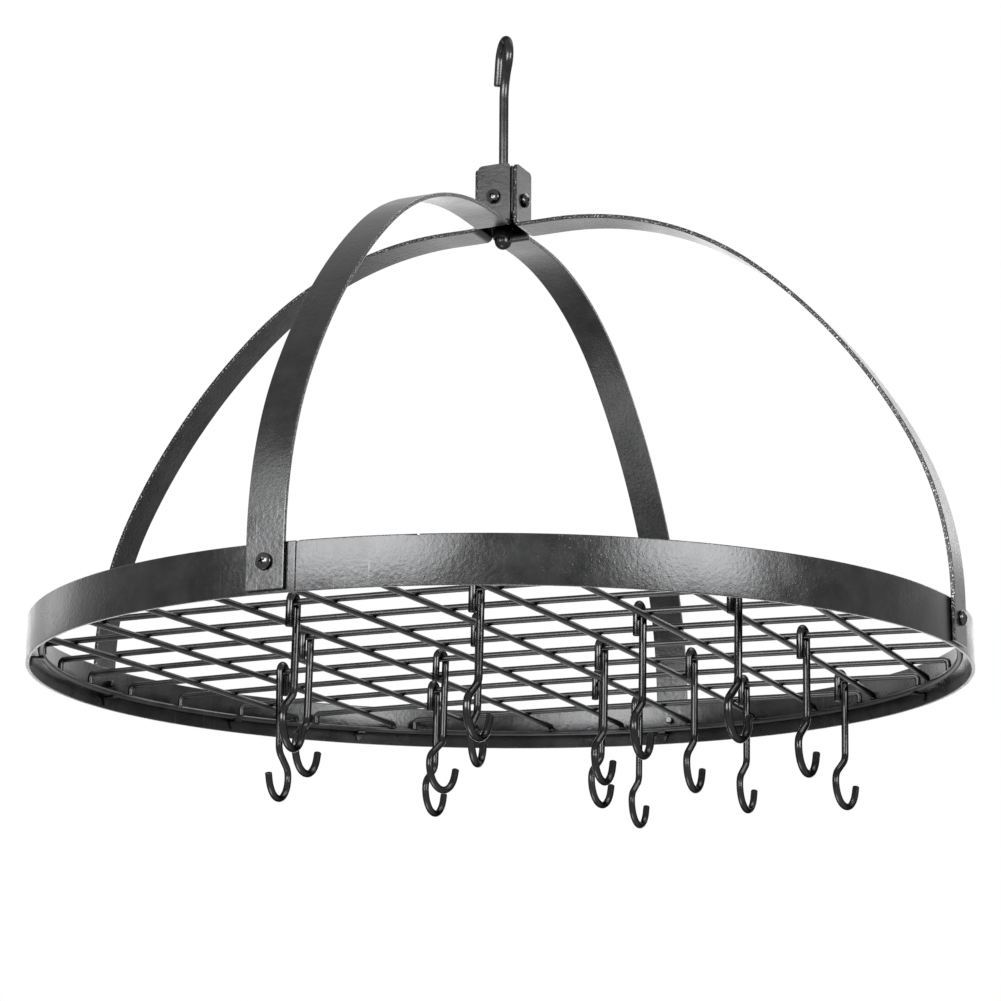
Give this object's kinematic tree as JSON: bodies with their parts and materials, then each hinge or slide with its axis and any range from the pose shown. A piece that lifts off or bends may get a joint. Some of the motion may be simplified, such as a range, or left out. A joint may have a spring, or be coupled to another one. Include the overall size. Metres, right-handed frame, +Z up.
{
  "type": "hanging pot rack",
  "caption": "Round hanging pot rack with a flat rim, a crowned wire grid, bent bar arms to a swivelling hub, a rod ceiling hook and loose wire pot hooks",
  "frame": {"origin": "the bearing point at the inside top of the ceiling hook's bowl, on the axis of the stem", "axes": "+Z up along the stem; +X along the long grid wires; +Y along the cross grid wires, away from the seam in the rim"},
  "size_m": [0.778, 0.778, 0.6497],
  "materials": {
    "frame_paint": "satin graphite paint with a fine texture",
    "grid_paint": "satin graphite paint",
    "stem_paint": "satin graphite paint",
    "hook_wire": "smooth semi-gloss dark paint",
    "screw_black": "black coated steel"
  },
  "bodies": {
    "hanger": {"hanger_hook": "stem_paint", "hub_washer": "stem_paint", "lock_nut": "stem_paint", "cap_nut": "stem_paint"},
    "rack": {"rim_band": "frame_paint", "grid_ring": "grid_paint", "long_wires": "grid_paint", "cross_wires": "grid_paint", "grid_lugs": "grid_paint", "arm_front": "frame_paint", "arm_left": "frame_paint", "arm_right": "frame_paint", "arm_back": "frame_paint", "hub_block": "frame_paint", "hub_screws": "screw_black", "rim_screws": "screw_black"},
    "pot_hook_01": {"pot_hook_01": "hook_wire"},
    "pot_hook_02": {"pot_hook_02": "hook_wire"},
    "pot_hook_03": {"pot_hook_03": "hook_wire"},
    "pot_hook_04": {"pot_hook_04": "hook_wire"},
    "pot_hook_05": {"pot_hook_05": "hook_wire"},
    "pot_hook_06": {"pot_hook_06": "hook_wire"},
    "pot_hook_07": {"pot_hook_07": "hook_wire"},
    "pot_hook_08": {"pot_hook_08": "hook_wire"},
    "pot_hook_09": {"pot_hook_09": "hook_wire"},
    "pot_hook_10": {"pot_hook_10": "hook_wire"},
    "pot_hook_11": {"pot_hook_11": "hook_wire"},
    "pot_hook_12": {"pot_hook_12": "hook_wire"},
    "pot_hook_13": {"pot_hook_13": "hook_wire"},
    "pot_hook_14": {"pot_hook_14": "hook_wire"},
    "pot_hook_15": {"pot_hook_15": "hook_wire"},
    "pot_hook_16": {"pot_hook_16": "hook_wire"}
  },
  "joints": [
    {"name": "rack_swivel", "type": "hinge", "parent": "hanger", "child": "rack", "pos_m": [0, 0, -0.15793], "axis": [0, 0, 1], "continuous": true},
    {"name": "pot_hook_01_swing", "type": "hinge", "parent": "rack", "child": "pot_hook_01", "pos_m": [-0.0685, -0.23275, -0.52788], "axis": [1, 0, 0], "range_deg": [-50, 50]},
    {"name": "pot_hook_02_swing", "type": "hinge", "parent": "rack", "child": "pot_hook_02", "pos_m": [-0.126, -0.09975, -0.52679], "axis": [1, 0, 0], "range_deg": [-50, 50]},
    {"name": "pot_hook_03_swing", "type": "hinge", "parent": "rack", "child": "pot_hook_03", "pos_m": [-0.2173, 0.03325, -0.52753], "axis": [1, 0, 0], "range_deg": [-50, 50]},
    {"name": "pot_hook_04_swing", "type": "hinge", "parent": "rack", "child": "pot_hook_04", "pos_m": [-0.0684, 0.03325, -0.52613], "axis": [1, 0, 0], "range_deg": [-50, 50]},
    {"name": "pot_hook_05_swing", "type": "hinge", "parent": "rack", "child": "pot_hook_05", "pos_m": [-0.1358, 0.16625, -0.52746], "axis": [1, 0, 0], "range_deg": [-50, 50]},
    {"name": "pot_hook_06_swing", "type": "hinge", "parent": "rack", "child": "pot_hook_06", "pos_m": [0.0813, -0.23275, -0.52794], "axis": [1, 0, 0], "range_deg": [-50, 50]},
    {"name": "pot_hook_07_swing", "type": "hinge", "parent": "rack", "child": "pot_hook_07", "pos_m": [0.0228, -0.09975, -0.52629], "axis": [1, 0, 0], "range_deg": [-50, 50]},
    {"name": "pot_hook_08_swing", "type": "hinge", "parent": "rack", "child": "pot_hook_08", "pos_m": [0.0756, 0.03325, -0.52617], "axis": [1, 0, 0], "range_deg": [-50, 50]},
    {"name": "pot_hook_09_swing", "type": "hinge", "parent": "rack", "child": "pot_hook_09", "pos_m": [0.0218, 0.16625, -0.52687], "axis": [1, 0, 0], "range_deg": [-50, 50]},
    {"name": "pot_hook_10_swing", "type": "hinge", "parent": "rack", "child": "pot_hook_10", "pos_m": [0.1582, -0.09975, -0.52709], "axis": [1, 0, 0], "range_deg": [-50, 50]},
    {"name": "pot_hook_11_swing", "type": "hinge", "parent": "rack", "child": "pot_hook_11", "pos_m": [0.0075, 0.29925, -0.52889], "axis": [1, 0, 0], "range_deg": [-50, 50]},
    {"name": "pot_hook_12_swing", "type": "hinge", "parent": "rack", "child": "pot_hook_12", "pos_m": [0.1301, 0.09975, -0.52683], "axis": [1, 0, 0], "range_deg": [-50, 50]},
    {"name": "pot_hook_13_swing", "type": "hinge", "parent": "rack", "child": "pot_hook_13", "pos_m": [0.2558, -0.16625, -0.52901], "axis": [1, 0, 0], "range_deg": [-50, 50]},
    {"name": "pot_hook_14_swing", "type": "hinge", "parent": "rack", "child": "pot_hook_14", "pos_m": [0.1319, 0.23275, -0.5283], "axis": [1, 0, 0], "range_deg": [-50, 50]},
    {"name": "pot_hook_15_swing", "type": "hinge", "parent": "rack", "child": "pot_hook_15", "pos_m": [0.2466, 0.03325, -0.52798], "axis": [1, 0, 0], "range_deg": [-50, 50]},
    {"name": "pot_hook_16_swing", "type": "hinge", "parent": "rack", "child": "pot_hook_16", "pos_m": [0.2197, 0.23275, -0.52931], "axis": [1, 0, 0], "range_deg": [-50, 50]}
  ]
}
